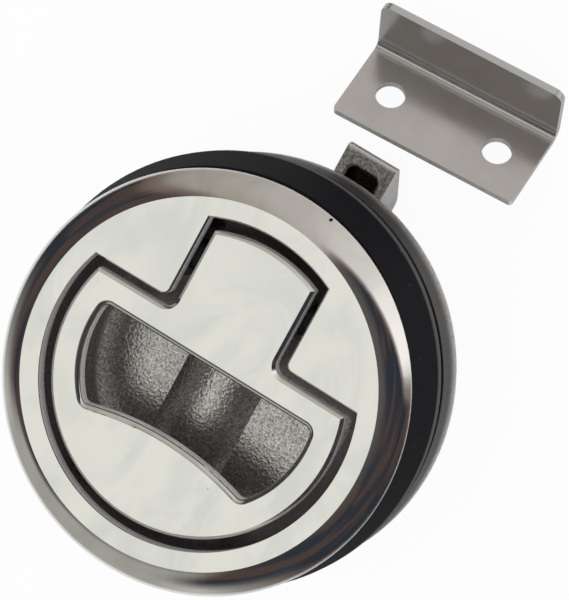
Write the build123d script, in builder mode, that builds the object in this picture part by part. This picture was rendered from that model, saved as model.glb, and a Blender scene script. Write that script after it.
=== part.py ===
from build123d import *
import math
import os

os.makedirs("parts", exist_ok=True)

# A round flush slam latch for a hatch, and the keeper that its bolt catches.
# Sizes are in millimetres. The origin is the centre of the front plate's rear face,
# which seats on the panel. +Z points out of the front and +Y along the bolt.

# Front plate
flange_dia = 82.0
flange_edge = 0.3           # straight edge behind the curved rim
face_height = 4.6           # flat face above the panel seat
rim_width = 5.2             # curved rim around the flat face
rim_bulge = 0.8             # how far the rim's curve stands off its chord
plate_thickness = 3.4       # front wall around the handle opening

# Opening for the T handle, and the gap around the handle
recess_margin = 3.8         # face left between the opening and the rim
stem_half_width = 13.4
shoulder_y = 11.65
shoulder_drop = 0.15        # the shoulders fall this much towards their outer ends
recess_corner = 1.6
grip_gap = 2.5
stem_gap = 2.15
shoulder_gap = 2.0
recess_edge = 0.3

# Cup behind the front plate
cup_undercut = 0.5
barrel_wall = 2.5
cup_floor = -13.0
cup_fillet = 5.0
barrel_end = -18.0
ridge_half_width = 8.4      # low arch cast across the cup's floor
ridge_rise = 2.3

# Handle
lever_thickness = 3.2
lever_edge = 0.6
lever_corner = 2.6
pocket_top = 4.2            # straight upper edge of the finger opening
grip_width = 5.7            # handle left outside the side arcs of the finger opening
pocket_bottom = -12.1       # middle of its lower edge
pocket_bottom_radius = 60.0
pocket_inset = 5.8          # half the lower edge is this much less than the side radius
pocket_corner = 1.6
pocket_edge = 1.1

# Hinge of the handle
pivot_inset = 9.0           # hinge pin from the top of the handle
pivot_z = -2.0
pin_radius = 2.0
pin_fit = 0.05              # radial clearance of a turning fit
bore_fit = 0.02             # radial clearance of a fixed pin in its bore
ear_outer = 11.0
ear_thickness = 3.4
ear_radius = 4.2
lug_inner = 14.1
lug_thickness = 3.0
sleeve_radius = 3.2         # short sleeves on the pin at both sides of the handle
sleeve_gap = 0.3
clip_thickness = 0.7
clip_radius = 3.0
clip_mouth = 2.4
pin_groove_depth = 0.35
pin_overhang = 1.6

# Arm that draws the bolt
arm_half_width = 3.0
arm_half_depth = 3.0
arm_length = 37.0           # hinge pin to the middle of the arm's tip
lever_angle = 22.0          # full lift of the handle, degrees
bolt_travel = 14.0

# Black spacer and rear ring sit a little towards the bolt
ring_shift = 1.6
spacer_gap = 0.7            # smallest gap between barrel and spacer
spacer_wall = 5.2           # at the straight band
spacer_flare = 2.5          # the front of the spacer is this much smaller in radius
spacer_flare_depth = 10.4
spacer_band_end = 13.6      # depth at which the straight band ends in a groove
spacer_band_round = 0.6
spacer_groove = 2.0
spacer_depth = 16.15
ring_step = 0.5             # ring radius below the spacer's
ring_gap = 0.35
ring_bolt_gap = 4.9         # between the ring's rear edge and the front of the bolt
ring_draft = 1.5            # degrees
socket_gap = 0.2            # around the end of the barrel
ring_wall = 3.2
ring_front_round = 0.9
ring_rear_round = 1.8
gasket_thickness = 1.2
gasket_width = 10.0
gasket_gap = 0.2
web_thickness = 3.0

# Rear case
clamp_inset = 2.7           # screw circle inside the barrel's outer face
clamp_count = 4
clamp_shank_radius = 2.0
clamp_hole_radius = 2.2
clamp_shank_length = 7.6
clamp_head_radius = 3.6
clamp_head_height = 2.4
clamp_drive_radius = 1.5
clamp_drive_depth = 1.3
case_head_gap = 0.7         # between the case and the heads of the clamp screws
case_nose_half_width = 12.0
case_nose_reach = 4.0       # how far the nose stands out of the round case
case_nose_round = 2.0
case_edge = 1.2
case_wall = 2.5

# Bolt
bolt_half_width = 5.65
bolt_depth = 13.8
bolt_reach = 6.0            # how far the thrown bolt stands out of the spacer
channel_end_wall = 4.0
arm_bite = 4.7              # how far the middle of the arm's tip lies behind the bolt's front
bolt_tip_land = 1.8         # straight height of the tip before the slam ramp
bolt_ramp_length = 7.8
bolt_tip_round = 0.9
bolt_ramp_round = 2.5
bolt_edge = 0.35
bolt_slide_gap = 0.1
bolt_tail_gap = 2.0
slot_half_width = 3.35
slot_depth = 8.0            # where the arm reaches in
slot_front_depth = 4.5      # towards the tip
slot_step_reach = 7.5       # deep part of the slot, in front of the hinge pin
slot_end_wall = 3.7         # bolt left between the slot and the tip
slot_corner = 1.3
slot_edge = 0.5
arm_slot_gap = 0.4
spring_bore_radius = 4.3
spring_bore_wall = 5.6      # bolt left between the slot and the spring bore

# Springs
bolt_spring_radius = 3.4
bolt_spring_wire = 1.0
bolt_spring_turns = 8.5
guide_radius = 2.3
guide_head_radius = 5.2
guide_head_thickness = 1.5
guide_reach = 4.0           # into the bolt
lever_spring_radius = 2.75
lever_spring_wire = 0.9
lever_spring_turns = 2.5
lever_spring_start = 3.9

# Case cover
cover_thickness = 1.75
cover_half_width = 10.5
cover_margin = 1.0
cover_gap = 0.15
cover_screw_x = 7.9
cover_screw_rear = 7.0      # screw rows from the ends of the cover
cover_screw_front = 9.0
cover_screw_radius = 1.25
cover_screw_length = 8.0
cover_head_radius = 2.1
cover_head_height = 1.0

# Rubber pads that the closed handle rests on
pad_inset = 3.5             # from the edge of the handle
pad_angle = 60.0
pad_radius = 2.1
pad_height = 0.9
pad_post_radius = 2.7
pad_gap = 0.35

# Keeper, a folded strip beside the latch that leans on its fold
keeper_length = 40.7
keeper_width = 19.3         # plate, to the outer face of the flange
keeper_height = 15.7        # flange, to the outer face of the plate
keeper_sheet = 1.5
keeper_bend = 1.6           # inside radius of the fold
keeper_corner = 2.2
keeper_plate_corner = 0.9
keeper_hole_radius = 3.0
keeper_hole_spacing = 24.3
keeper_hole_edge = 8.8      # hole centres from the plate's free edge
keeper_lean = 38.0          # the plate's free edge points up towards the bolt, degrees
keeper_turn = 2.9
keeper_x = 7.6              # middle of the free edge
keeper_gap = 3.4            # from the tip of the bolt to the free edge, along the bolt

# Sizes that follow from the ones above
flange_radius = flange_dia / 2
face_radius = flange_radius - rim_width
recess_radius = face_radius - recess_margin
cup_radius = recess_radius + cup_undercut
barrel_radius = cup_radius + barrel_wall
spacer_bore = barrel_radius + ring_shift + spacer_gap
spacer_radius = spacer_bore + spacer_wall
ring_radius = spacer_radius - ring_step
clamp_circle_radius = barrel_radius - clamp_inset
case_radius = clamp_circle_radius - clamp_head_radius - case_head_gap
case_nose_y = case_radius + case_nose_reach
gasket_bore = barrel_radius - gasket_width
cover_front_y = case_nose_y - cover_margin
cover_rear_y = -case_radius + cover_margin
cover_screw_ys = (cover_rear_y + cover_screw_rear, cover_front_y - cover_screw_front)
plate_rear = face_height - plate_thickness
lever_rear = face_height - lever_thickness
lever_radius = recess_radius - grip_gap
pocket_radius = lever_radius - grip_width
pocket_half_width = pocket_radius - pocket_inset
pivot_y = lever_radius - pivot_inset
pad_circle = lever_radius - pad_inset
lever_stem_half = stem_half_width - stem_gap
lever_shoulder = shoulder_y - shoulder_gap
lug_outer = lug_inner + lug_thickness
pin_half_length = lug_outer + pin_overhang + clip_thickness
arm_tip_z = pivot_z - arm_length
bolt_front = arm_tip_z + arm_bite
bolt_rear = bolt_front - bolt_depth
spacer_rear = -spacer_depth
ring_front = spacer_rear - ring_gap
web_front = barrel_end - gasket_thickness
web_rear = web_front - web_thickness
ring_rear = bolt_front + ring_bolt_gap
ring_depth = ring_front - ring_rear
case_depth = cover_gap + cover_thickness - bolt_rear
case_rear = -case_depth
cover_front = case_rear + cover_thickness
channel_half_width = bolt_half_width + bolt_slide_gap
channel_front = bolt_front + bolt_slide_gap
channel_end_y = -case_radius + channel_end_wall
bolt_tail_y = channel_end_y + bolt_tail_gap + bolt_travel
bolt_tip_y = spacer_radius + bolt_reach
guide_tip_y = bolt_tail_y + guide_reach
slot_rear_y = pivot_y - arm_half_depth - arm_slot_gap
slot_step_y = pivot_y + slot_step_reach
slot_end_y = bolt_tip_y - slot_end_wall
spring_bore_y = slot_rear_y - spring_bore_wall
keeper_y = bolt_tip_y + keeper_gap
spring_z = (bolt_front + bolt_rear) / 2
arm_swing = math.radians(lever_angle)


def t_outline(radius, stem_half, shoulder, corner):
    """A disc with its two upper corners cut away, so that a crossbar and a stem are left."""
    reach = 1.3 * radius
    drop = shoulder_drop * (reach - stem_half) / (recess_radius - stem_half_width)
    with BuildSketch() as outline:
        Circle(radius)
        for side in (-1, 1):
            with BuildLine():
                Polyline(
                    (side * stem_half, shoulder),
                    (side * reach, shoulder - drop),
                    (side * reach, reach),
                    (side * stem_half, reach),
                    close=True,
                )
            make_face(mode=Mode.SUBTRACT)
        inner_corners = outline.vertices().filter_by(
            lambda v: abs(abs(v.X) - stem_half) < 0.01 and abs(v.Y - shoulder) < 0.01
        )
        fillet(inner_corners, radius=corner)
    return outline.sketch


def finger_outline():
    """The finger opening: straight above, arcs at both sides and a bowed lower edge."""
    bottom_drop = pocket_bottom_radius - math.sqrt(pocket_bottom_radius**2 - pocket_half_width**2)
    corner_y = pocket_bottom - bottom_drop
    top_x = math.sqrt(pocket_radius**2 - pocket_top**2)
    with BuildSketch() as opening:
        with BuildLine():
            top = Line((-top_x, pocket_top), (top_x, pocket_top))
            right = ThreePointArc(top @ 1, (pocket_radius * math.cos(math.radians(-12)),
                                            pocket_radius * math.sin(math.radians(-12))),
                                  (pocket_half_width, corner_y))
            bottom = ThreePointArc(right @ 1, (0, pocket_bottom), (-pocket_half_width, corner_y))
            ThreePointArc(bottom @ 1, (-pocket_radius * math.cos(math.radians(-12)),
                                       pocket_radius * math.sin(math.radians(-12))), top @ 0)
        make_face()
        fillet(opening.vertices(), radius=pocket_corner)
    return opening.sketch


def pivot_plane(x):
    """A plane across the hinge pin at x, with its own x along +Y and its own y along +Z."""
    return Plane(origin=(x, 0, 0), x_dir=(0, 1, 0), z_dir=(1, 0, 0))


def coil(radius, wire, turns, length):
    """A helical wire that starts at the origin and runs along +Z."""
    path = Helix(pitch=length / turns, height=length, radius=radius)
    with BuildPart() as spring:
        with BuildSketch(Plane(origin=path @ 0, z_dir=path % 0)):
            Circle(wire / 2)
        sweep(path=path, is_frenet=True)
    return spring.part


# Front casting: rim, flat face, cup, floor ridge, hinge lugs and pad posts
with BuildPart() as housing:
    with BuildSketch(Plane.XZ):
        with BuildLine():
            rim_start = (flange_radius, flange_edge)
            rim_end = (face_radius, face_height)
            chord_x = rim_end[0] - rim_start[0]
            chord_z = rim_end[1] - rim_start[1]
            chord = math.hypot(chord_x, chord_z)
            rim_middle = (
                (rim_start[0] + rim_end[0]) / 2 + rim_bulge * chord_z / chord,
                (rim_start[1] + rim_end[1]) / 2 - rim_bulge * chord_x / chord,
            )
            Polyline(rim_end, (0, face_height), (0, barrel_end), (barrel_radius, barrel_end),
                     (barrel_radius, 0), (flange_radius, 0), rim_start)
            ThreePointArc(rim_start, rim_middle, rim_end)
        make_face()
    revolve(axis=Axis.Z)
    with BuildSketch(Plane.XY.offset(face_height)):
        add(t_outline(recess_radius, stem_half_width, shoulder_y, recess_corner))
    extrude(amount=-plate_thickness, mode=Mode.SUBTRACT)
    with BuildSketch(Plane.XY.offset(plate_rear)):
        Circle(cup_radius)
    extrude(amount=cup_floor - plate_rear, mode=Mode.SUBTRACT)
    floor_edge = housing.edges().filter_by(GeomType.CIRCLE).filter_by(
        lambda e: abs(e.center().Z - cup_floor) < 0.01 and abs(e.radius - cup_radius) < 0.01
    )
    fillet(floor_edge, radius=cup_fillet)
    with BuildSketch(Plane.XZ.offset(cup_radius + 1.0)):
        with BuildLine():
            arch = ThreePointArc((-ridge_half_width, cup_floor), (0, cup_floor + ridge_rise),
                                 (ridge_half_width, cup_floor))
            Polyline(arch @ 1, (ridge_half_width, cup_floor - 1.0),
                     (-ridge_half_width, cup_floor - 1.0), arch @ 0)
        make_face()
    extrude(amount=-(cup_radius + 1.0 + shoulder_y - 2.0))
    for side in (-1, 1):
        with BuildSketch(pivot_plane(side * (lug_inner + lug_thickness / 2))):
            with Locations((pivot_y, (plate_rear + 0.5 + cup_floor - 0.5) / 2)):
                Rectangle(2 * ear_radius + 2.0, plate_rear - cup_floor + 1.0)
        extrude(amount=lug_thickness / 2, both=True)
        with BuildSketch(Plane.XY.offset(cup_floor - 0.5)):
            with Locations((side * pad_circle * math.cos(math.radians(pad_angle)),
                            -pad_circle * math.sin(math.radians(pad_angle)))):
                Circle(pad_post_radius)
        extrude(amount=lever_rear - pad_gap - pad_height - cup_floor + 0.5)
    with BuildSketch(pivot_plane(0)):
        with Locations((pivot_y, pivot_z)):
            Circle(pin_radius + bore_fit)
    extrude(amount=barrel_radius + 1.0, mode=Mode.SUBTRACT)
    with BuildSketch(pivot_plane(0)):
        with Locations((pivot_y, pivot_z)):
            Circle(pin_radius + bore_fit)
    extrude(amount=-(lug_outer + 1.0), mode=Mode.SUBTRACT)
    arm_slot_front = pivot_y + arm_half_depth + 1.0
    arm_slot_rear = pivot_y - (pivot_z - barrel_end) * math.tan(arm_swing) - arm_half_depth - 1.6
    with BuildSketch(Plane.XY.offset(barrel_end)):
        with Locations((0, (arm_slot_front + arm_slot_rear) / 2)):
            Rectangle(2 * (arm_half_width + 1.2), arm_slot_front - arm_slot_rear)
    extrude(amount=cup_floor + ridge_rise + 1.0 - barrel_end, mode=Mode.SUBTRACT)
    with BuildSketch(Plane.XY.offset(barrel_end)):
        with PolarLocations(clamp_circle_radius, clamp_count, start_angle=45):
            Circle(clamp_shank_radius + bore_fit)
    extrude(amount=web_rear + clamp_shank_length + 0.4 - barrel_end, mode=Mode.SUBTRACT)
    rim_edges = housing.edges().filter_by(
        lambda e: abs(e.bounding_box().min.Z - face_height) < 0.01
        and max(abs(e.center().X), abs(e.center().Y)) < face_radius - 1.0
        and e.bounding_box().size.length < 2 * recess_radius + 4.0
    )
    chamfer(rim_edges.filter_by(
        lambda e: not (e.geom_type == GeomType.CIRCLE and abs(e.radius - face_radius) < 0.01)
    ), length=recess_edge)
housing.part.label = "housing"
export_step(housing.part, "parts/housing.step")

# Black spacer around the barrel, behind the front plate: a flared wall, a straight
# band and a groove before the ring
ring_axis = Axis((0, ring_shift, 0), (0, 0, 1))
with BuildPart() as spacer:
    with BuildSketch(Plane.XZ.offset(-ring_shift)):
        with BuildLine():
            Polyline(
                (spacer_bore, 0),
                (spacer_radius - spacer_flare, 0),
                (spacer_radius, -spacer_flare_depth),
                (spacer_radius, -spacer_band_end),
                (spacer_radius - spacer_groove, -spacer_band_end),
                (spacer_radius - spacer_groove, spacer_rear),
                (spacer_bore, spacer_rear),
                close=True,
            )
        make_face()
    revolve(axis=ring_axis)
    band_edge = spacer.edges().filter_by(GeomType.CIRCLE).filter_by(
        lambda e: abs(e.center().Z + spacer_band_end) < 0.01
        and abs(e.radius - spacer_radius) < 0.01
    )
    fillet(band_edge, radius=spacer_band_round)
spacer.part.label = "spacer"
export_step(spacer.part, "parts/spacer.step")

# Flat gasket between the cup and the rear case
with BuildPart() as case_gasket:
    with BuildSketch(Plane.XY.offset(barrel_end)):
        Circle(barrel_radius - gasket_gap)
        Circle(gasket_bore, mode=Mode.SUBTRACT)
        with PolarLocations(clamp_circle_radius, clamp_count, start_angle=45):
            Circle(clamp_hole_radius, mode=Mode.SUBTRACT)
    extrude(amount=-gasket_thickness)
case_gasket.part.label = "case_gasket"
export_step(case_gasket.part, "parts/case_gasket.step")

# Rear case: the ring behind the spacer, its web, and the block that guides the bolt
with BuildPart() as rear_case:
    with BuildSketch(Plane.XY.offset(ring_front)):
        with Locations((0, ring_shift)):
            Circle(ring_radius)
    extrude(amount=-ring_depth, taper=ring_draft)
    fillet(rear_case.edges().group_by(Axis.Z)[-1], radius=ring_front_round)
    fillet(rear_case.edges().group_by(Axis.Z)[0], radius=ring_rear_round)
    with BuildSketch(Plane.XY.offset(ring_front)):
        Circle(barrel_radius + socket_gap)
    extrude(amount=web_front - ring_front, mode=Mode.SUBTRACT)
    with BuildSketch(Plane.XY.offset(ring_rear)):
        with Locations((0, ring_shift)):
            Circle(ring_radius - ring_wall)
    extrude(amount=web_rear - ring_rear, mode=Mode.SUBTRACT)
    with BuildSketch(Plane.XY.offset(web_rear)) as block_outline:
        Circle(case_radius)
        with Locations((0, case_nose_y / 2)):
            Rectangle(2 * case_nose_half_width, case_nose_y)
        fillet(block_outline.vertices(), radius=case_nose_round)
    extrude(amount=case_rear - web_rear)
    chamfer(rear_case.edges().group_by(Axis.Z)[0], length=case_edge)
    # Open pockets at both sides of the bolt
    with BuildSketch(Plane.XY.offset(case_rear)):
        Circle(case_radius - case_wall)
        Rectangle(2 * (cover_half_width + cover_gap + case_wall), 2 * case_radius, mode=Mode.SUBTRACT)
    extrude(amount=web_rear - case_wall - case_rear, mode=Mode.SUBTRACT)
    # Channel for the bolt, open at the nose and closed behind by the cover
    with BuildSketch(Plane.XY.offset(channel_front)):
        with Locations((0, (channel_end_y + 2 * case_nose_y) / 2)):
            Rectangle(2 * channel_half_width, 2 * case_nose_y - channel_end_y)
    extrude(amount=case_rear - 1.0 - channel_front, mode=Mode.SUBTRACT)
    # Recess for the cover
    with BuildSketch(Plane.XY.offset(case_rear)) as cover_seat:
        with Locations((0, (cover_front_y + cover_rear_y) / 2)):
            Rectangle(2 * (cover_half_width + cover_gap), cover_front_y - cover_rear_y + 2 * cover_gap)
        Circle(case_radius - case_edge - 0.4, mode=Mode.INTERSECT)
        with Locations((0, (cover_front_y + cover_gap) / 2)):
            Rectangle(2 * (cover_half_width + cover_gap), cover_front_y + cover_gap)
    extrude(amount=cover_thickness, mode=Mode.SUBTRACT)
    # Slot that the arm swings in
    case_slot_front = pivot_y + arm_half_depth + 1.0
    case_slot_rear = (pivot_y - (pivot_z - channel_front) * math.tan(arm_swing)
                      - arm_half_depth / math.cos(arm_swing) - 1.0)
    with BuildSketch(Plane.XY.offset(web_front)):
        with Locations((0, (case_slot_front + case_slot_rear) / 2)):
            Rectangle(2 * (arm_half_width + 1.2), case_slot_front - case_slot_rear)
    extrude(amount=channel_front - web_front, mode=Mode.SUBTRACT)
    with BuildSketch(Plane.XY.offset(web_front)):
        with PolarLocations(clamp_circle_radius, clamp_count, start_angle=45):
            Circle(clamp_hole_radius)
    extrude(amount=web_rear - web_front, mode=Mode.SUBTRACT)
    with BuildSketch(Plane.XY.offset(cover_front)):
        for y in cover_screw_ys:
            with Locations((-cover_screw_x, y), (cover_screw_x, y)):
                Circle(cover_screw_radius + bore_fit)
    extrude(amount=cover_screw_length, mode=Mode.SUBTRACT)
rear_case.part.label = "rear_case"
export_step(rear_case.part, "parts/rear_case.step")

# Four screws that draw the case and the cup together
with BuildPart() as clamp_screws:
    with BuildSketch(Plane.XY.offset(web_rear)):
        with PolarLocations(clamp_circle_radius, clamp_count, start_angle=45):
            Circle(clamp_head_radius)
    extrude(amount=-clamp_head_height)
    fillet(clamp_screws.edges().group_by(Axis.Z)[0], radius=0.8)
    with BuildSketch(Plane.XY.offset(web_rear)):
        with PolarLocations(clamp_circle_radius, clamp_count, start_angle=45):
            Circle(clamp_shank_radius)
    extrude(amount=clamp_shank_length)
    with BuildSketch(Plane.XY.offset(web_rear - clamp_head_height)):
        with PolarLocations(clamp_circle_radius, clamp_count, start_angle=45):
            RegularPolygon(clamp_drive_radius, 6)
    extrude(amount=clamp_drive_depth, mode=Mode.SUBTRACT)
clamp_screws.part.label = "clamp_screws"
export_step(clamp_screws.part, "parts/clamp_screws.step")

# Handle: T plate with the finger opening, two hinge ears and the arm
with BuildPart() as lever:
    with BuildSketch(Plane.XY.offset(lever_rear)):
        add(t_outline(lever_radius, lever_stem_half, lever_shoulder, lever_corner))
    extrude(amount=lever_thickness)
    chamfer(lever.edges().group_by(Axis.Z)[-1], length=lever_edge)
    with BuildSketch(Plane.XY.offset(lever_rear)):
        add(finger_outline())
    extrude(amount=lever_thickness, mode=Mode.SUBTRACT)
    opening_edges = lever.edges().group_by(Axis.Z)[-1].filter_by(
        lambda e: math.hypot(e.center().X, e.center().Y) < pocket_radius + 0.5
        and e.center().Y < pocket_top + 0.1
        and max(abs(e.bounding_box().min.X), abs(e.bounding_box().max.X)) < pocket_radius + 0.1
    )
    fillet(opening_edges, radius=pocket_edge)
    for side in (-1, 1):
        with BuildSketch(pivot_plane(side * (ear_outer - ear_thickness / 2))):
            with Locations((pivot_y, pivot_z)):
                Circle(ear_radius)
            with Locations((pivot_y, (pivot_z + lever_rear + 0.2) / 2)):
                Rectangle(2 * ear_radius, lever_rear + 0.2 - pivot_z)
        extrude(amount=ear_thickness / 2, both=True)
    with BuildSketch(pivot_plane(0)):
        with Locations((pivot_y, (lever_rear + 0.2 + arm_tip_z) / 2)):
            Rectangle(2 * arm_half_depth, lever_rear + 0.2 - arm_tip_z)
        with Locations((pivot_y, arm_tip_z)):
            Circle(arm_half_depth)
        with Locations((pivot_y, pivot_z)):
            Circle(ear_radius)
    extrude(amount=arm_half_width, both=True)
    with BuildSketch(pivot_plane(0)):
        with Locations((pivot_y, pivot_z)):
            Circle(pin_radius + pin_fit)
    extrude(amount=lug_inner, both=True, mode=Mode.SUBTRACT)
lever.part.label = "lever"
export_step(lever.part, "parts/lever.step")

# Hinge pin with a groove for a clip near each end
clip_x = lug_outer + 0.2
with BuildPart() as pivot_pin:
    with BuildSketch(pivot_plane(-pin_half_length)):
        with Locations((pivot_y, pivot_z)):
            Circle(pin_radius)
    extrude(amount=2 * pin_half_length)
    chamfer(pivot_pin.edges().filter_by(GeomType.CIRCLE), length=0.4)
    for x in (clip_x, -clip_x - clip_thickness - 0.2):
        with BuildSketch(pivot_plane(x)):
            with Locations((pivot_y, pivot_z)):
                Circle(pin_radius + 0.1)
                Circle(pin_radius - pin_groove_depth, mode=Mode.SUBTRACT)
        extrude(amount=clip_thickness + 0.2, mode=Mode.SUBTRACT)
pivot_pin.part.label = "pivot_pin"
export_step(pivot_pin.part, "parts/pivot_pin.step")

# One clip, one sleeve and one rest pad at each side
for name, side in (("left", -1), ("right", 1)):
    clip_start = clip_x + 0.1 if side > 0 else -clip_x - 0.1 - clip_thickness
    with BuildPart() as clip:
        with BuildSketch(pivot_plane(clip_start)):
            with Locations((pivot_y, pivot_z)):
                Circle(clip_radius)
                Circle(pin_radius - pin_groove_depth + bore_fit, mode=Mode.SUBTRACT)
            with Locations((pivot_y, pivot_z - clip_radius / 2)):
                Rectangle(clip_mouth, clip_radius, mode=Mode.SUBTRACT)
        extrude(amount=clip_thickness)
    clip.part.label = "pivot_clip_" + name
    export_step(clip.part, "parts/pivot_clip_" + name + ".step")

    sleeve_length = lug_inner - ear_outer - 1.2 * sleeve_gap
    sleeve_start = ear_outer + sleeve_gap if side > 0 else -ear_outer - sleeve_gap - sleeve_length
    with BuildPart() as sleeve:
        with BuildSketch(pivot_plane(sleeve_start)):
            with Locations((pivot_y, pivot_z)):
                Circle(sleeve_radius)
                Circle(pin_radius + pin_fit, mode=Mode.SUBTRACT)
        extrude(amount=sleeve_length)
    sleeve.part.label = "pin_sleeve_" + name
    export_step(sleeve.part, "parts/pin_sleeve_" + name + ".step")

    with BuildPart() as pad:
        with BuildSketch(Plane.XY.offset(lever_rear - pad_gap)):
            with Locations((side * pad_circle * math.cos(math.radians(pad_angle)),
                            -pad_circle * math.sin(math.radians(pad_angle)))):
                Circle(pad_radius)
        extrude(amount=-pad_height)
        fillet(pad.edges().group_by(Axis.Z)[-1], radius=0.3)
    pad.part.label = "rest_pad_" + name
    export_step(pad.part, "parts/rest_pad_" + name + ".step")

# Wire spring on the pin that keeps the handle flush: a coil, a leg under the plate
# and a leg down to the cup's floor
lever_spring_length = lever_spring_turns * (lever_spring_wire + 0.15)
lever_spring_end = lever_spring_start + lever_spring_length
lever_coil = coil(lever_spring_radius, lever_spring_wire, lever_spring_turns, lever_spring_length)
with BuildPart() as lever_spring:
    add(Plane(origin=(lever_spring_start, pivot_y, pivot_z), x_dir=(0, 1, 0), z_dir=(1, 0, 0)) * lever_coil)
    # The coil starts on its +Y side and ends on its -Y side
    with BuildSketch(Plane.XY.offset(pivot_z + lever_spring_wire / 2)):
        with Locations((lever_spring_start, pivot_y + lever_spring_radius)):
            Circle(lever_spring_wire / 2)
    extrude(amount=cup_floor + 0.3 - pivot_z - lever_spring_wire / 2)
    with BuildSketch(Plane.XY.offset(pivot_z)):
        with Locations((lever_spring_end, pivot_y - lever_spring_radius)):
            Circle(lever_spring_wire / 2)
    extrude(amount=lever_rear - 0.3 - pivot_z)
lever_spring.part.label = "lever_spring"
export_step(lever_spring.part, "parts/lever_spring.step")

# Bolt: flat front, slam ramp behind the tip, slot for the arm, bore for the spring
with BuildPart() as bolt:
    with BuildSketch(pivot_plane(-bolt_half_width)):
        with BuildLine():
            Polyline(
                (bolt_tail_y, bolt_front),
                (bolt_tip_y, bolt_front),
                (bolt_tip_y, bolt_front - bolt_tip_land),
                (bolt_tip_y - bolt_ramp_length, bolt_rear),
                (bolt_tail_y, bolt_rear),
                close=True,
            )
        make_face()
    extrude(amount=2 * bolt_half_width)
    ramp_corner = bolt.edges().filter_by(Axis.X).filter_by(
        lambda e: abs(e.center().Z - bolt_rear) < 0.01 and e.center().Y > 0
    )
    fillet(ramp_corner, radius=bolt_ramp_round)
    tip_edges = bolt.edges().filter_by(Axis.X).group_by(Axis.Y)[-1].sort_by(Axis.Z)
    fillet(tip_edges[-1], radius=bolt_tip_round)
    fillet(bolt.edges().filter_by(Axis.Y).filter_by(
        lambda e: abs(e.center().Z - bolt_front) < 0.01
    ), radius=bolt_edge)
    for end_y, depth in ((slot_step_y, slot_depth), (slot_end_y, slot_front_depth)):
        with BuildSketch(Plane.XY.offset(bolt_front)):
            with Locations((0, (slot_rear_y + end_y) / 2)):
                RectangleRounded(2 * slot_half_width, end_y - slot_rear_y, slot_corner)
        extrude(amount=-depth, mode=Mode.SUBTRACT)
    slot_rim = bolt.edges().filter_by(
        lambda e: abs(e.bounding_box().min.Z - bolt_front) < 0.01
        and abs(e.bounding_box().max.Z - bolt_front) < 0.01
        and abs(e.center().X) < slot_half_width + 0.01
        and e.bounding_box().size.Y < slot_end_y - slot_rear_y + 0.01
        and slot_rear_y - 0.01 < e.center().Y < slot_end_y + 0.01
    )
    chamfer(slot_rim, length=slot_edge)
    with BuildSketch(Plane.XZ.offset(-bolt_tail_y)):
        with Locations((0, spring_z)):
            Circle(spring_bore_radius)
    extrude(amount=-(spring_bore_y - bolt_tail_y), mode=Mode.SUBTRACT)
bolt.part.label = "bolt"
export_step(bolt.part, "parts/bolt.step")

# Bolt spring between the end of the channel and the bottom of the bolt's bore
spring_start = channel_end_y + guide_head_thickness + 0.1
spring_length = spring_bore_y - 0.1 - spring_start - bolt_spring_wire
bolt_coil = coil(bolt_spring_radius, bolt_spring_wire, bolt_spring_turns, spring_length)
with BuildPart() as bolt_spring:
    add(Plane(origin=(0, spring_start + bolt_spring_wire / 2, spring_z), x_dir=(1, 0, 0),
              z_dir=(0, 1, 0)) * bolt_coil)
bolt_spring.part.label = "bolt_spring"
export_step(bolt_spring.part, "parts/bolt_spring.step")

# Headed rod that keeps the bolt spring straight
with BuildPart() as spring_guide:
    with BuildSketch(Plane.XZ.offset(-channel_end_y)):
        with Locations((0, spring_z)):
            Circle(guide_head_radius)
    extrude(amount=-guide_head_thickness)
    with BuildSketch(Plane.XZ.offset(-channel_end_y)):
        with Locations((0, spring_z)):
            Circle(guide_radius)
    extrude(amount=-(guide_tip_y - channel_end_y))
    chamfer(spring_guide.edges().group_by(Axis.Y)[-1], length=0.6)
spring_guide.part.label = "spring_guide"
export_step(spring_guide.part, "parts/spring_guide.step")

# Flat cover behind the bolt
with BuildPart() as case_cover:
    with BuildSketch(Plane.XY.offset(case_rear)) as cover_outline:
        with Locations((0, (cover_front_y + cover_rear_y) / 2)):
            Rectangle(2 * cover_half_width, cover_front_y - cover_rear_y)
        Circle(case_radius - case_edge - 0.4 - cover_gap, mode=Mode.INTERSECT)
        with Locations((0, cover_front_y / 2)):
            Rectangle(2 * cover_half_width, cover_front_y)
        for y in cover_screw_ys:
            with Locations((-cover_screw_x, y), (cover_screw_x, y)):
                Circle(cover_screw_radius + 0.2, mode=Mode.SUBTRACT)
    extrude(amount=cover_thickness)
    with BuildSketch(Plane.XY.offset(case_rear)):
        for y in cover_screw_ys:
            with Locations((-cover_screw_x, y), (cover_screw_x, y)):
                Circle(cover_head_radius + 0.1)
    extrude(amount=cover_head_height + 0.05, mode=Mode.SUBTRACT)
case_cover.part.label = "case_cover"
export_step(case_cover.part, "parts/case_cover.step")

# Four small screws that hold the cover
with BuildPart() as cover_screws:
    with BuildSketch(Plane.XY.offset(case_rear + 0.05)):
        for y in cover_screw_ys:
            with Locations((-cover_screw_x, y), (cover_screw_x, y)):
                Circle(cover_head_radius)
    extrude(amount=cover_head_height)
    with BuildSketch(Plane.XY.offset(case_rear + 0.05)):
        for y in cover_screw_ys:
            with Locations((-cover_screw_x, y), (cover_screw_x, y)):
                Circle(cover_screw_radius)
    extrude(amount=cover_screw_length)
    with BuildSketch(Plane.XY.offset(case_rear + 0.05)):
        for y in cover_screw_ys:
            with Locations((-cover_screw_x, y), (cover_screw_x, y)):
                RegularPolygon(0.9, 6)
    extrude(amount=0.6, mode=Mode.SUBTRACT)
cover_screws.part.label = "cover_screws"
export_step(cover_screws.part, "parts/cover_screws.step")

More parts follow.
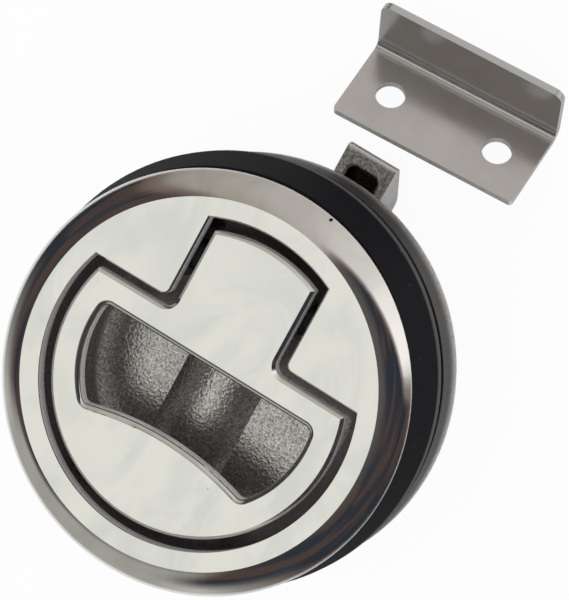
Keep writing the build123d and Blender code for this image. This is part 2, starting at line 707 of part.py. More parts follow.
# Keeper: folded strip whose fold touches the surface that the latch stands on
lean = math.radians(keeper_lean)
turn = math.radians(keeper_turn)
outer_bend = keeper_bend + keeper_sheet
keeper_z = (case_rear + outer_bend * (1 - math.cos(lean))
            + (keeper_width - outer_bend) * math.sin(lean))
keeper_face = Plane(
    origin=(keeper_x, keeper_y, keeper_z),
    x_dir=(math.cos(turn), math.sin(turn), 0),
    z_dir=(-math.sin(turn) * math.sin(lean), math.cos(turn) * math.sin(lean), math.cos(lean)),
)
keeper_end = Plane(
    origin=keeper_face.from_local_coords((-keeper_length / 2, 0, 0)),
    x_dir=keeper_face.y_dir,
    z_dir=keeper_face.x_dir,
)
with BuildPart() as keeper:
    with BuildSketch(keeper_end) as keeper_profile:
        with BuildLine():
            Polyline(
                (0, 0),
                (keeper_width, 0),
                (keeper_width, keeper_height),
                (keeper_width - keeper_sheet, keeper_height),
                (keeper_width - keeper_sheet, keeper_sheet),
                (0, keeper_sheet),
                close=True,
            )
        make_face()
        fold = keeper_profile.vertices().sort_by_distance((keeper_width, 0))
        fillet(fold[0], radius=outer_bend)
        fold = keeper_profile.vertices().sort_by_distance(
            (keeper_width - keeper_sheet, keeper_sheet)
        )
        fillet(fold[0], radius=keeper_bend)
    extrude(amount=keeper_length)
    short_edges = keeper.edges().filter_by(lambda e: abs(e.length - keeper_sheet) < 0.01)
    flange_corners = short_edges.filter_by(
        lambda e: abs((e % 0).dot(keeper_face.y_dir)) > 0.9
    )
    fillet(flange_corners, radius=keeper_corner)
    fillet(short_edges.filter_by(
        lambda e: abs((e % 0).dot(keeper_face.z_dir)) > 0.9
    ), radius=keeper_plate_corner)
    with BuildSketch(keeper_face):
        with Locations((0, keeper_hole_edge)):
            with GridLocations(keeper_hole_spacing, 0, 2, 1):
                Circle(keeper_hole_radius)
    extrude(amount=keeper_sheet, mode=Mode.SUBTRACT)
keeper.part.label = "keeper"
export_step(keeper.part, "parts/keeper.step")
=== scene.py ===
import math

import bmesh
import bpy
from mathutils import Matrix, Vector

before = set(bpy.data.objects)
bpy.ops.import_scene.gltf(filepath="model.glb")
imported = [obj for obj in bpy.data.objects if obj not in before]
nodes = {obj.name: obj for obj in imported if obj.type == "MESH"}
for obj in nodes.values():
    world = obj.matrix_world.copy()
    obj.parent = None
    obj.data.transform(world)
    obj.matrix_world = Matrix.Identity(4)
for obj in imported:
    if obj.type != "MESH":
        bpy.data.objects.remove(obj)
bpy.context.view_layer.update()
scene = bpy.context.scene
mm = 0.001


def feed(tree, socket, value):
    if isinstance(value, bpy.types.NodeSocket):
        tree.links.new(value, socket)
    elif isinstance(value, tuple) and socket.type == "RGBA" and len(value) == 3:
        socket.default_value = (*value, 1.0)
    else:
        socket.default_value = value


def mathNode(tree, operation, first, second=None):
    node = tree.nodes.new("ShaderNodeMath")
    node.operation = operation
    feed(tree, node.inputs[0], first)
    if second is not None:
        feed(tree, node.inputs[1], second)
    return node.outputs[0]


def plus(tree, first, second):
    return mathNode(tree, "ADD", first, second)


def minus(tree, first, second):
    return mathNode(tree, "SUBTRACT", first, second)


def times(tree, first, second):
    return mathNode(tree, "MULTIPLY", first, second)


def larger(tree, first, second):
    return mathNode(tree, "MAXIMUM", first, second)


def distance(tree, x, y):
    return mathNode(tree, "SQRT", plus(tree, times(tree, x, x), times(tree, y, y)))


def ramp(tree, value, low, high, start=0.0, end=1.0):
    node = tree.nodes.new("ShaderNodeMapRange")
    node.interpolation_type = "SMOOTHSTEP"
    feed(tree, node.inputs["Value"], value)
    node.inputs["From Min"].default_value = low
    node.inputs["From Max"].default_value = high
    node.inputs["To Min"].default_value = start
    node.inputs["To Max"].default_value = end
    return node.outputs["Result"]


def rampMm(tree, value, low, high, start=0.0, end=1.0):
    return ramp(tree, value, low * mm, high * mm, start, end)


def rampDegrees(tree, value, low, high):
    return ramp(tree, value, math.radians(low), math.radians(high))


def mixNode(tree, kind, factor, first, second):
    # a Mix node keeps the sockets of each kind of value at their own places
    firstSlot, secondSlot, resultSlot = {"FLOAT": (2, 3, 0), "VECTOR": (4, 5, 1), "RGBA": (6, 7, 2)}[kind]
    node = tree.nodes.new("ShaderNodeMix")
    node.data_type = kind
    feed(tree, node.inputs[0], factor)
    feed(tree, node.inputs[firstSlot], first)
    feed(tree, node.inputs[secondSlot], second)
    return node.outputs[resultSlot]


def mixColor(tree, factor, first, second):
    return mixNode(tree, "RGBA", factor, first, second)


def mixShaders(tree, factor, first, second):
    node = tree.nodes.new("ShaderNodeMixShader")
    for slot, socket in enumerate((factor, first, second)):
        tree.links.new(socket, node.inputs[slot])
    return node.outputs[0]


def noise(tree, place, scale, detail=2.0, roughness=0.5, distortion=0.0):
    node = tree.nodes.new("ShaderNodeTexNoise")
    feed(tree, node.inputs["Vector"], place)
    node.inputs["Scale"].default_value = scale
    node.inputs["Detail"].default_value = detail
    node.inputs["Roughness"].default_value = roughness
    node.inputs["Distortion"].default_value = distortion
    return node.outputs["Fac"]


def stretch(tree, place, scale):
    node = tree.nodes.new("ShaderNodeMapping")
    feed(tree, node.inputs["Vector"], place)
    node.inputs["Scale"].default_value = scale
    return node.outputs["Vector"]


def objectPlace(tree):
    return tree.nodes.new("ShaderNodeTexCoord").outputs["Object"]


def splitPlace(tree, place):
    node = tree.nodes.new("ShaderNodeSeparateXYZ")
    tree.links.new(place, node.inputs[0])
    return node.outputs


def vectorMeasure(tree, operation, place, other):
    node = tree.nodes.new("ShaderNodeVectorMath")
    node.operation = operation
    tree.links.new(place, node.inputs[0])
    node.inputs[1].default_value = other
    return node.outputs["Value"]


def bumpNode(tree, height, strength, depth):
    node = tree.nodes.new("ShaderNodeBump")
    node.inputs["Strength"].default_value = strength
    node.inputs["Distance"].default_value = depth * mm
    tree.links.new(height, node.inputs["Height"])
    return node.outputs["Normal"]


def newGroup(name, outputs):
    tree = bpy.data.node_groups.new(name, "ShaderNodeTree")
    tree.interface.new_socket(name="place", in_out="INPUT", socket_type="NodeSocketVector")
    for label in outputs:
        tree.interface.new_socket(name=label, in_out="OUTPUT", socket_type="NodeSocketFloat")
    place = tree.nodes.new("NodeGroupInput").outputs["place"]
    return tree, place, tree.nodes.new("NodeGroupOutput").inputs


def useGroup(tree, group, place):
    node = tree.nodes.new("ShaderNodeGroup")
    node.node_tree = group
    tree.links.new(place, node.inputs["place"])
    return node.outputs


def newMaterial(name, color, roughness, metallic=0.0):
    mat = bpy.data.materials.new(name)
    mat.use_nodes = True
    shader = mat.node_tree.nodes["Principled BSDF"]
    feed(mat.node_tree, shader.inputs["Base Color"], color)
    shader.inputs["Roughness"].default_value = roughness
    shader.inputs["Metallic"].default_value = metallic
    return mat, mat.node_tree, shader


def paint(mat, *names):
    for name in names:
        nodes[name].data.materials.clear()
        nodes[name].data.materials.append(mat)


# cast skin: small grains of the sand mould and a slow change of tone
castGrain = {
    "grainScale": 1700, "fineScale": 4800, "slowScale": 160, "grainShare": 0.88, "fineShare": 0.12,
    "slowShare": 0.3, "shadeRange": (0.42, 0.9), "glossRange": (0.35, 0.65),
}
castSkin, place, results = newGroup("castSkin", ("height", "shade", "gloss"))
grain = noise(castSkin, place, castGrain["grainScale"], 1.5)
fine = noise(castSkin, place, castGrain["fineScale"])
slow = noise(castSkin, place, castGrain["slowScale"])
grainPart = times(castSkin, grain, castGrain["grainShare"])
finePart = times(castSkin, fine, castGrain["fineShare"])
height = plus(castSkin, grainPart, finePart)
tone = plus(castSkin, height, times(castSkin, slow, castGrain["slowShare"]))
feed(castSkin, results["height"], height)
feed(castSkin, results["shade"], ramp(castSkin, tone, *castGrain["shadeRange"]))
feed(castSkin, results["gloss"], ramp(castSkin, fine, *castGrain["glossRange"]))

# polish: faint clouds from the buffing wheel, very fine marks and a few specks
buffing = {
    "cloudScale": 62, "cloudStretch": (1.0, 0.55, 1.0), "cloudSwirl": 1.6,
    "markScale": 2600, "markStretch": (1.0, 0.12, 1.0), "markShare": 0.02,
    "waveScale": 95, "speckScale": 900, "speckRange": (0.86, 0.90),
}
polishMarks, place, results = newGroup("polishMarks", ("cloud", "height", "speck"))
cloudPlace = stretch(polishMarks, place, buffing["cloudStretch"])
markPlace = stretch(polishMarks, place, buffing["markStretch"])
cloud = noise(polishMarks, cloudPlace, buffing["cloudScale"], 3.0, 0.55, buffing["cloudSwirl"])
marks = noise(polishMarks, markPlace, buffing["markScale"], 2.0, 0.6)
waves = noise(polishMarks, place, buffing["waveScale"], 1.0, 0.4)
specks = noise(polishMarks, place, buffing["speckScale"], 0.0)
feed(polishMarks, results["cloud"], cloud)
height = plus(polishMarks, times(polishMarks, marks, buffing["markShare"]), waves)
feed(polishMarks, results["height"], height)
feed(polishMarks, results["speck"], ramp(polishMarks, specks, *buffing["speckRange"]))
print("shared effects done")

# front casting and handle: buffed outside, as cast below castBelow and within castWithin of the axis,
# with paler walls above wallFrom and painted shade darkening the floor in the gap round the handle, in mm
buffedMetal = {
    "light": (0.85, 0.835, 0.80), "cloudy": (0.755, 0.755, 0.73), "cloudRange": (0.36, 0.66),
    "speck": (0.25, 0.24, 0.23), "speckShare": 0.35, "roughness": (0.075, 0.14),
    "waveStrength": 0.25, "waveDepth": 0.012,
    "nick": (0.02, 0.02, 0.02), "nickEdge": (0.45, 0.25), "nickStretch": (1.0, 1.0, 0.5),
}
# gapShade is painted shade: the floor of the gap round the handle is painted dark and made less metallic
# deeper down
castCup = {
    "dark": (0.5, 0.48, 0.46), "light": (0.93, 0.91, 0.88), "roughness": 0.22, "roughnessSpread": 0.08,
    "grainStrength": 0.9, "grainDepth": 0.145, "sideSoft": 0.05, "topSoft": 0.35,
    "gapShade": (0.2, 0.175, 0.17), "gapReach": (25.4, 27.0), "gapBehind": (5.4, 6.6),
    "gapDepth": (0.9, -0.6), "gapShadeDulling": 0.8, "dullingShare": 0.75,
    "wall": (0.82, 0.80, 0.79), "wallSoft": 0.3, "wallSmoothing": 0.85,
}
housingFinish = {"castBelow": 4.35, "castWithin": 33.2, "wallFrom": 1.0, "nick": (6.74, 39.97, 0.52)}
leverFinish = {"castBelow": 4.05, "castWithin": 60.0, "wallFrom": 1.3, "nick": None}


def polishedColor(tree, place, marks, nick):
    cloudy = ramp(tree, marks["cloud"], *buffedMetal["cloudRange"])
    color = mixColor(tree, cloudy, buffedMetal["light"], buffedMetal["cloudy"])
    specks = times(tree, marks["speck"], buffedMetal["speckShare"])
    color = mixColor(tree, specks, color, buffedMetal["speck"])
    if nick:
        center = tuple(part * mm for part in nick)
        nickPlace = stretch(tree, place, buffedMetal["nickStretch"])
        away = vectorMeasure(tree, "DISTANCE", nickPlace, center)
        color = mixColor(tree, rampMm(tree, away, *buffedMetal["nickEdge"]), color, buffedMetal["nick"])
    return color


def castColor(tree, skin, gapShade, wall):
    color = mixColor(tree, skin["shade"], castCup["dark"], castCup["light"])
    # painted shade darkens the floor of the gap round the handle
    color = mixColor(tree, gapShade, color, castCup["gapShade"])
    return mixColor(tree, wall, color, castCup["wall"])


def polishedSurface(name, finish):
    mat, tree, shader = newMaterial(name, buffedMetal["light"], 0.1, 1.0)
    place = objectPlace(tree)
    x, y, z = splitPlace(tree, place)
    marks = useGroup(tree, polishMarks, place)
    skin = useGroup(tree, castSkin, place)

    reach = distance(tree, x, y)
    side = finish["castWithin"]
    within = rampMm(tree, reach, side + castCup["sideSoft"], side - castCup["sideSoft"])
    below = rampMm(tree, z, finish["castBelow"], finish["castBelow"] - castCup["topSoft"])
    rough = times(tree, within, below)
    outerGap = rampMm(tree, reach, *castCup["gapReach"])
    stemGap = rampMm(tree, y, *castCup["gapBehind"])
    # painted shade on the unlit floor of the gap round the handle, beyond the pocket and deeper down
    gapShade = times(tree, larger(tree, outerGap, stemGap), rampMm(tree, z, *castCup["gapDepth"]))
    high = rampMm(tree, z, finish["wallFrom"], finish["wallFrom"] + castCup["wallSoft"])
    wall = times(tree, rough, high)

    polish = polishedColor(tree, place, marks, finish["nick"])
    cast = castColor(tree, skin, gapShade, wall)
    feed(tree, shader.inputs["Base Color"], mixColor(tree, rough, polish, cast))
    # less metallic on the paler walls, and in the gap as part of its painted shade
    dullWallAndGapShade = larger(tree, wall, times(tree, gapShade, castCup["gapShadeDulling"]))
    feed(tree, shader.inputs["Metallic"], minus(tree, 1.0, times(tree, dullWallAndGapShade, castCup["dullingShare"])))
    polishRoughness = ramp(tree, marks["cloud"], 0.25, 0.8, *buffedMetal["roughness"])
    spread = times(tree, skin["gloss"], castCup["roughnessSpread"])
    castRoughness = plus(tree, spread, castCup["roughness"])
    feed(tree, shader.inputs["Roughness"], mixNode(tree, "FLOAT", rough, polishRoughness, castRoughness))
    smooth = bumpNode(tree, marks["height"], buffedMetal["waveStrength"], buffedMetal["waveDepth"])
    keptGrain = minus(tree, 1.0, times(tree, wall, castCup["wallSmoothing"]))
    grainHeight = times(tree, skin["height"], keptGrain)
    grainy = bumpNode(tree, grainHeight, castCup["grainStrength"], castCup["grainDepth"])
    feed(tree, shader.inputs["Normal"], mixNode(tree, "VECTOR", rough, smooth, grainy))
    return mat


def castSurface(name, finish):
    mat, tree, shader = newMaterial(name, finish["light"], 0.4, 1.0)
    place = objectPlace(tree)
    skin = useGroup(tree, castSkin, place)
    color = mixColor(tree, skin["shade"], finish["dark"], finish["light"])
    feed(tree, shader.inputs["Roughness"], ramp(tree, skin["gloss"], 0.0, 1.0, *finish["roughness"]))
    feed(tree, shader.inputs["Normal"], bumpNode(tree, skin["height"], 0.8, finish["grainDepth"]))
    return mat, tree, shader, place, color


paint(polishedSurface("frontPolish", housingFinish), "housing")
paint(polishedSurface("leverPolish", leverFinish), "lever")

# ring and case: cast metal, with painted shade that deepens towards the spacer and a painted shadow on the
# front face
ringFinish = {
    "dark": (0.5, 0.475, 0.455), "light": (0.9, 0.87, 0.84), "roughness": (0.34, 0.5), "grainDepth": 0.2,
    "paintedShade": (0.075, 0.07, 0.067), "paintedShadeShine": (0.6, 0.6, 0.6), "paintedShadeDepth": (-29.0, -21.5),
    "paintedShadeMost": 0.92, "front": (0.02, 0.019, 0.018), "frontDepth": (-17.1, -16.9),
}
ringMetal, tree, shader, place, color = castSurface("ringCast", ringFinish)
z = splitPlace(tree, place)["Z"]
# painted shade: base colour and specular tint darken from the rear of the ring towards the spacer
paintedShade = rampMm(tree, z, *ringFinish["paintedShadeDepth"], 0.0, ringFinish["paintedShadeMost"])
color = mixColor(tree, paintedShade, color, ringFinish["paintedShade"])
# painted shadow: the ring's front face, down in the groove behind the spacer, is painted near black
front = rampMm(tree, z, *ringFinish["frontDepth"])
feed(tree, shader.inputs["Base Color"], mixColor(tree, front, color, ringFinish["front"]))
shine = mixColor(tree, paintedShade, (1.0, 1.0, 1.0), ringFinish["paintedShadeShine"])
feed(tree, shader.inputs["Specular Tint"], shine)
paint(ringMetal, "rear_case")

# rubber: dull black with a little dust, and a painted highlight: greyer along the straight side of the
# spacer
rubberFinish = {
    "black": (0.007, 0.0066, 0.0086), "dust": (0.2, 0.2, 0.2), "band": (0.085, 0.083, 0.085),
    "bandFront": (-10.2, -11.4), "bandRear": (-13.9, -12.9), "roughness": 0.6, "shine": 0.06,
    "speckScale": 1500, "speckRange": (0.80, 0.84), "patchScale": 70, "patchRange": (0.45, 0.7),
    "dustShare": 0.4,
}
rubber, tree, shader = newMaterial("spacerRubber", rubberFinish["black"], rubberFinish["roughness"])
shader.inputs["Specular IOR Level"].default_value = rubberFinish["shine"]
place = objectPlace(tree)
z = splitPlace(tree, place)["Z"]
specks = ramp(tree, noise(tree, place, rubberFinish["speckScale"], 0.0), *rubberFinish["speckRange"])
patches = ramp(tree, noise(tree, place, rubberFinish["patchScale"], 1.0), *rubberFinish["patchRange"])
dust = times(tree, times(tree, specks, patches), rubberFinish["dustShare"])
color = mixColor(tree, dust, rubberFinish["black"], rubberFinish["dust"])
# painted highlight: the spacer's straight side is painted greyer, standing in for the floor mirrored there
band = times(tree, rampMm(tree, z, *rubberFinish["bandFront"]), rampMm(tree, z, *rubberFinish["bandRear"]))
feed(tree, shader.inputs["Base Color"], mixColor(tree, band, color, rubberFinish["band"]))
paint(rubber, "spacer", "case_gasket", "rest_pad_left", "rest_pad_right")

# pin sleeves: near black, as painted shade that keeps them dark in the gap round the hinge
sleeveShadeFinish = {"color": (0.012, 0.012, 0.013), "roughness": (0.45, 0.6), "shine": 0.2, "mottleScale": 900}
sleeveShade, tree, shader = newMaterial("sleeveShadeBlack", sleeveShadeFinish["color"], 0.5)
shader.inputs["Specular IOR Level"].default_value = sleeveShadeFinish["shine"]
mottle = noise(tree, objectPlace(tree), sleeveShadeFinish["mottleScale"], 1.0)
feed(tree, shader.inputs["Roughness"], ramp(tree, mottle, 0.3, 0.7, *sleeveShadeFinish["roughness"]))
paint(sleeveShade, "pin_sleeve_left", "pin_sleeve_right")

# bolt: grainy front, ground sides and tip, near black in the slot
boltFinish = {
    "dark": (0.3, 0.295, 0.285), "light": (0.8, 0.785, 0.76), "roughness": (0.26, 0.42), "grainDepth": 0.2,
    "groundDark": (0.76, 0.745, 0.73), "groundLight": (0.85, 0.84, 0.825), "grindingScale": 500,
    "grainOnFront": 0.7, "grainElsewhere": 0.12, "slot": (0.035, 0.03, 0.028),
    "frontDepth": (-34.75, -34.55), "frontHalf": (5.5, 5.3), "frontTip": (47.75, 47.45),
    "slotDepth": (-34.5, -34.9), "slotHalf": (4.3, 4.0), "slotTip": (45.4, 45.2),
}
boltMetal, tree, shader, place, color = castSurface("boltCast", boltFinish)
x, y, z = splitPlace(tree, place)
aside = mathNode(tree, "ABSOLUTE", x)
regions = []
for depth, half, tip in (("frontDepth", "frontHalf", "frontTip"), ("slotDepth", "slotHalf", "slotTip")):
    region = times(tree, rampMm(tree, z, *boltFinish[depth]), rampMm(tree, aside, *boltFinish[half]))
    regions.append(times(tree, region, rampMm(tree, y, *boltFinish[tip])))
front, slot = regions
grinding = ramp(tree, noise(tree, place, boltFinish["grindingScale"], 3.0), 0.3, 0.7)
ground = mixColor(tree, grinding, boltFinish["groundDark"], boltFinish["groundLight"])
color = mixColor(tree, front, ground, color)
feed(tree, shader.inputs["Base Color"], mixColor(tree, slot, color, boltFinish["slot"]))
grainy = shader.inputs["Normal"].links[0].from_node
frontGrain = times(tree, front, boltFinish["grainOnFront"])
feed(tree, grainy.inputs["Strength"], plus(tree, frontGrain, boltFinish["grainElsewhere"]))
paint(boltMetal, "bolt")

# keeper: satin sheet, with painted shade darkening the flange, brighter on the cut edges, and scuffed along
# the bend where the scuff also paints the bend's thin highlight;
# places are in mm from the plate's free edge, its back and its middle
keeperSheet = {
    "length": 40.7, "height": 15.7, "bendStart": 15.9, "lean": 38.0, "turn": 2.9,
    "bright": (0.79, 0.77, 0.76), "stained": (0.7, 0.68, 0.665), "flange": (0.4, 0.39, 0.38),
    "wornAndHighlight": (0.5, 0.5, 0.49), "wornAndHighlightDulling": 0.55, "roughness": (0.17, 0.25), "bendRoughness": 0.3,
    "cutRoughness": 0.45, "stainScale": 70, "rollScale": 1500, "rollDepth": 0.003, "scuffScale": 160,
    "cutEdge": (0.12, 0.04), "endEdge": (0.08, 0.02), "bendHeight": (4.0, 2.6), "flangeHeight": (1.8, 3.4),
}
lean = math.radians(keeperSheet["lean"])
turn = math.radians(keeperSheet["turn"])
along = Vector((math.cos(turn), math.sin(turn), 0))
across = Vector((-math.cos(lean) * math.sin(turn), math.cos(lean) * math.cos(turn), -math.sin(lean)))
outward = along.cross(across)
sheetPlaces = [vertex.co for vertex in nodes["keeper"].data.vertices]
sheetEdge = min(place.dot(across) for place in sheetPlaces)
sheetBack = min(place.dot(outward) for place in sheetPlaces)
halfLength = 0.5 * keeperSheet["length"]
sheetMiddle = min(place.dot(along) for place in sheetPlaces) + halfLength * mm


def cutNear(tree, measure, end):
    outer, inner = keeperSheet["endEdge"]
    return rampMm(tree, measure, end - outer, end - inner)


sheet, tree, shader = newMaterial("sheetSatin", keeperSheet["bright"], 0.2, 1.0)
place = objectPlace(tree)
lengthwise = minus(tree, vectorMeasure(tree, "DOT_PRODUCT", place, along), sheetMiddle)
fromMiddle = mathNode(tree, "ABSOLUTE", lengthwise)
fromEdge = minus(tree, vectorMeasure(tree, "DOT_PRODUCT", place, across), sheetEdge)
height = minus(tree, vectorMeasure(tree, "DOT_PRODUCT", place, outward), sheetBack)
stain = noise(tree, place, keeperSheet["stainScale"], 3.0, 0.6)
rolled = noise(tree, stretch(tree, place, (0.3, 1.0, 1.0)), keeperSheet["rollScale"])

cutAcross = rampMm(tree, fromEdge, *keeperSheet["cutEdge"])
cutEnds = cutNear(tree, fromMiddle, halfLength)
cutTop = cutNear(tree, height, keeperSheet["height"])
cut = larger(tree, larger(tree, cutAcross, cutEnds), cutTop)
bendStart = keeperSheet["bendStart"]
scuffIn = rampMm(tree, fromEdge, bendStart - 0.25, bendStart)
scuffOut = rampMm(tree, fromEdge, bendStart + 0.45, bendStart + 0.2)
scuffBreaks = ramp(tree, noise(tree, place, keeperSheet["scuffScale"]), 0.4, 0.6, 0.35, 1.0)
# scuff along the bend, which also serves as a painted highlight for the bend's thin bright line
scuffAndHighlight = times(tree, times(tree, scuffIn, scuffOut), scuffBreaks)
bendIn = rampMm(tree, fromEdge, bendStart - 0.4, bendStart + 0.2)
bend = times(tree, bendIn, rampMm(tree, height, *keeperSheet["bendHeight"]))

color = mixColor(tree, ramp(tree, stain, 0.3, 0.75), keeperSheet["bright"], keeperSheet["stained"])
# painted shade: the flange is painted darker than the plate it is bent from
flangeShade = rampMm(tree, height, *keeperSheet["flangeHeight"])
color = mixColor(tree, times(tree, flangeShade, 0.8), color, keeperSheet["flange"])
# cut edges worn paler, and the bend's scuff doubling as a painted highlight, both less metallic
color = mixColor(tree, larger(tree, times(tree, cut, 0.9), scuffAndHighlight), color, keeperSheet["wornAndHighlight"])
feed(tree, shader.inputs["Base Color"], color)
wornAndHighlight = larger(tree, cut, scuffAndHighlight)
feed(tree, shader.inputs["Metallic"], minus(tree, 1.0, times(tree, wornAndHighlight, keeperSheet["wornAndHighlightDulling"])))
roughness = ramp(tree, stain, 0.3, 0.7, *keeperSheet["roughness"])
roughness = larger(tree, roughness, times(tree, bend, keeperSheet["bendRoughness"]))
roughness = larger(tree, roughness, times(tree, cut, keeperSheet["cutRoughness"]))
feed(tree, shader.inputs["Roughness"], roughness)
feed(tree, shader.inputs["Normal"], bumpNode(tree, rolled, 0.08, keeperSheet["rollDepth"]))
paint(sheet, "keeper")

# turned and drawn steel of the screws, pins and springs
steelFinish = {"color": (0.6, 0.6, 0.59), "roughness": (0.26, 0.4), "markScale": 1200}
steel, tree, shader = newMaterial("machinedSteel", steelFinish["color"], 0.32, 1.0)
turned = noise(tree, stretch(tree, objectPlace(tree), (1.0, 1.0, 3.0)), steelFinish["markScale"])
feed(tree, shader.inputs["Roughness"], ramp(tree, turned, 0.3, 0.7, *steelFinish["roughness"]))
paint(steel, "clamp_screws", "pivot_pin", "spring_guide", "cover_screws", "case_cover")

wireFinish = {"color": (0.45, 0.45, 0.46), "roughness": (0.3, 0.46), "markScale": 2500}
wire, tree, shader = newMaterial("springWire", wireFinish["color"], 0.38, 1.0)
drawn = noise(tree, objectPlace(tree), wireFinish["markScale"], 1.0)
feed(tree, shader.inputs["Roughness"], ramp(tree, drawn, 0.3, 0.7, *wireFinish["roughness"]))
paint(wire, "lever_spring", "bolt_spring", "pivot_clip_left", "pivot_clip_right")
print("materials done")

# floor: pale, nearly white to the camera with a faint shadow, and not mirrored far from the latch
floorLook = {"color": (0.85, 0.85, 0.85), "glow": 0.94, "mirroredTo": (100, 155), "half": 2000, "z": -50.02}
floorMesh = bpy.data.meshes.new("floor")
bm = bmesh.new()
floorPlace = Matrix.Translation((0, 0, floorLook["z"] * mm))
bmesh.ops.create_grid(bm, x_segments=1, y_segments=1, size=floorLook["half"] * mm, matrix=floorPlace)
bm.to_mesh(floorMesh)
bm.free()
floor = bpy.data.objects.new("floor", floorMesh)
scene.collection.objects.link(floor)
floorMaterial, tree, shader = newMaterial("floorPale", floorLook["color"], 0.8)
shader.inputs["Specular IOR Level"].default_value = 0.0
floorMesh.materials.append(floorMaterial)
white = tree.nodes.new("ShaderNodeEmission")
feed(tree, white.inputs["Color"], (1.0, 1.0, 1.0))
clear = tree.nodes.new("ShaderNodeBsdfTransparent")
path = tree.nodes.new("ShaderNodeLightPath")
x, y, z = splitPlace(tree, objectPlace(tree))
far = rampMm(tree, distance(tree, x, y), *floorLook["mirroredTo"])
far = times(tree, far, path.outputs["Is Glossy Ray"])
glow = times(tree, path.outputs["Is Camera Ray"], floorLook["glow"])
surface = mixShaders(tree, glow, shader.outputs[0], white.outputs[0])
surface = mixShaders(tree, far, surface, clear.outputs[0])
tree.links.new(surface, tree.nodes["Material Output"].inputs["Surface"])
print("floor done")

# studio, as the polished metal mirrors it: a dark room with soft panels, placed by azimuth and
# elevation in degrees; everything else is lit by plain white
rightPanel = {
    "at": 88, "half": 62, "soft": 10, "top": 60, "edge": 8, "slope": 0.9, "color": (1.05, 1.03, 1.01),
    "fades": ((48, 72, (0.7, 0.68, 0.66)), (72, 105, (0.5, 0.475, 0.455)), (105, 140, (0.4, 0.37, 0.33))),
    "fringe": (0.2, 0.125, 0.118), "fringeShare": 0.65,
}
leftPanel = {
    "at": -112, "half": 27, "soft": 8, "top": 37, "edge": 6, "slope": 0.42, "color": (0.41, 0.4, 0.375),
}
lowPanel = {
    "at": -110, "half": 40, "soft": 26, "top": 4, "edge": 20, "slope": 0.0, "color": (0.66, 0.65, 0.62),
}
overheadPanel = {"toward": (-0.217, -0.208, 0.954), "outer": 15, "inner": 9, "color": (0.86, 0.87, 0.83)}
room = {
    "navy": (0.026, 0.031, 0.044), "brown": (0.078, 0.053, 0.047), "ceiling": (0.1, 0.094, 0.09),
    "ceilingFrom": 50, "ceilingTo": 74, "streakScale": 1.3, "streakRise": 2.9, "streakSlant": 1.1,
}
world = bpy.data.worlds.new("studio")
scene.world = world
world.use_nodes = True
tree = world.node_tree
direction = tree.nodes.new("ShaderNodeTexCoord").outputs["Generated"]
x, y, z = splitPlace(tree, direction)
azimuth = mathNode(tree, "ARCTAN2", y, x)
elevation = mathNode(tree, "ARCSINE", z)


def panelMask(panel):
    half = panel["half"]
    soft = panel["soft"]
    aside = minus(tree, azimuth, math.radians(panel["at"]))
    sides = rampDegrees(tree, mathNode(tree, "ABSOLUTE", aside), half + soft, half - soft)
    level = minus(tree, elevation, times(tree, aside, panel["slope"]))
    top = rampDegrees(tree, level, panel["top"] + panel["edge"], panel["top"] - panel["edge"])
    return times(tree, sides, top)


slanted = tree.nodes.new("ShaderNodeCombineXYZ")
tree.links.new(azimuth, slanted.inputs[0])
rise = times(tree, elevation, room["streakRise"])
feed(tree, slanted.inputs[1], plus(tree, rise, times(tree, azimuth, room["streakSlant"])))
streak = noise(tree, slanted.outputs[0], room["streakScale"], 1.3, 0.5, 0.7)
color = mixColor(tree, ramp(tree, streak, 0.45, 0.56), room["navy"], room["brown"])
ceiling = rampDegrees(tree, elevation, room["ceilingFrom"], room["ceilingTo"])
color = mixColor(tree, ceiling, color, room["ceiling"])
for panel in (lowPanel, leftPanel):
    color = mixColor(tree, panelMask(panel), color, panel["color"])
rightColor = rightPanel["color"]
for start, end, faded in rightPanel["fades"]:
    rightColor = mixColor(tree, rampDegrees(tree, azimuth, start, end), rightColor, faded)
rightMask = panelMask(rightPanel)
color = mixColor(tree, rightMask, color, rightColor)
fringe = times(tree, ramp(tree, rightMask, 0.0, 0.3), ramp(tree, rightMask, 0.8, 0.3))
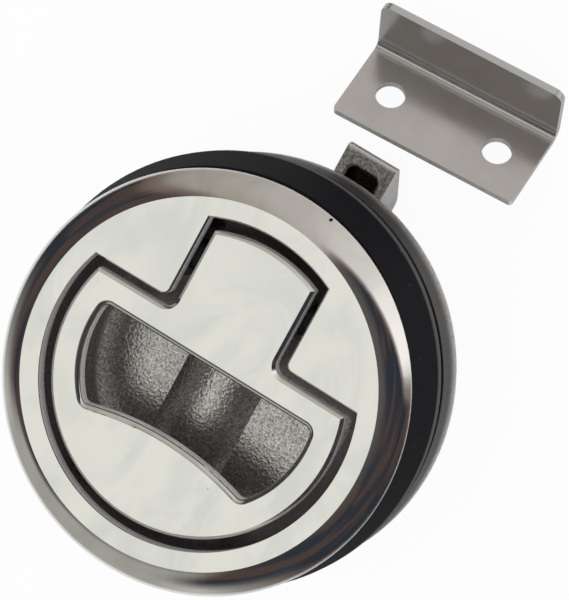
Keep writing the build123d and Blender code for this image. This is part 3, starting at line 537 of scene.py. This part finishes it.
color = mixColor(tree, times(tree, fringe, rightPanel["fringeShare"]), color, rightPanel["fringe"])
facing = vectorMeasure(tree, "DOT_PRODUCT", direction, Vector(overheadPanel["toward"]).normalized())
outer = math.cos(math.radians(overheadPanel["outer"]))
inner = math.cos(math.radians(overheadPanel["inner"]))
color = mixColor(tree, ramp(tree, facing, outer, inner), color, overheadPanel["color"])
mirrored = tree.nodes["Background"]
tree.links.new(color, mirrored.inputs["Color"])
plain = tree.nodes.new("ShaderNodeBackground")
feed(tree, plain.inputs["Color"], (1.0, 1.0, 1.0))
path = tree.nodes.new("ShaderNodeLightPath")
surface = mixShaders(tree, path.outputs["Is Glossy Ray"], plain.outputs[0], mirrored.outputs[0])
tree.links.new(surface, tree.nodes["World Output"].inputs["Surface"])
print("studio done")

# camera, as the photograph was taken: degrees, and mm from the origin
view = {
    "tilt": 17.468, "heading": 43.779, "roll": 28.661, "distance": 762.231,
    "shiftRight": 15.331, "shiftUp": 15.778, "sensor": 36.0, "lens": 253.1, "farthest": 10.0,
}
tilt = math.radians(view["tilt"])
heading = math.radians(view["heading"])
roll = math.radians(view["roll"])
toCamera = Vector((math.sin(tilt) * math.cos(heading), math.sin(tilt) * math.sin(heading), math.cos(tilt)))
side = Vector((0, 1, 0)).cross(toCamera).normalized()
over = toCamera.cross(side)
right = math.cos(roll) * side + math.sin(roll) * over
up = math.cos(roll) * over - math.sin(roll) * side
place = (toCamera * view["distance"] + right * view["shiftRight"] + up * view["shiftUp"]) * mm
cameraData = bpy.data.cameras.new("camera")
cameraData.sensor_fit = "HORIZONTAL"
cameraData.sensor_width = view["sensor"]
cameraData.lens = view["lens"]
cameraData.clip_end = view["farthest"]
camera = bpy.data.objects.new("camera", cameraData)
camera.matrix_world = Matrix((
    (right.x, up.x, toCamera.x, place.x),
    (right.y, up.y, toCamera.y, place.y),
    (right.z, up.z, toCamera.z, place.z),
    (0, 0, 0, 1),
))
scene.collection.objects.link(camera)
scene.camera = camera
scene.view_settings.view_transform = "Standard"
print("camera done")
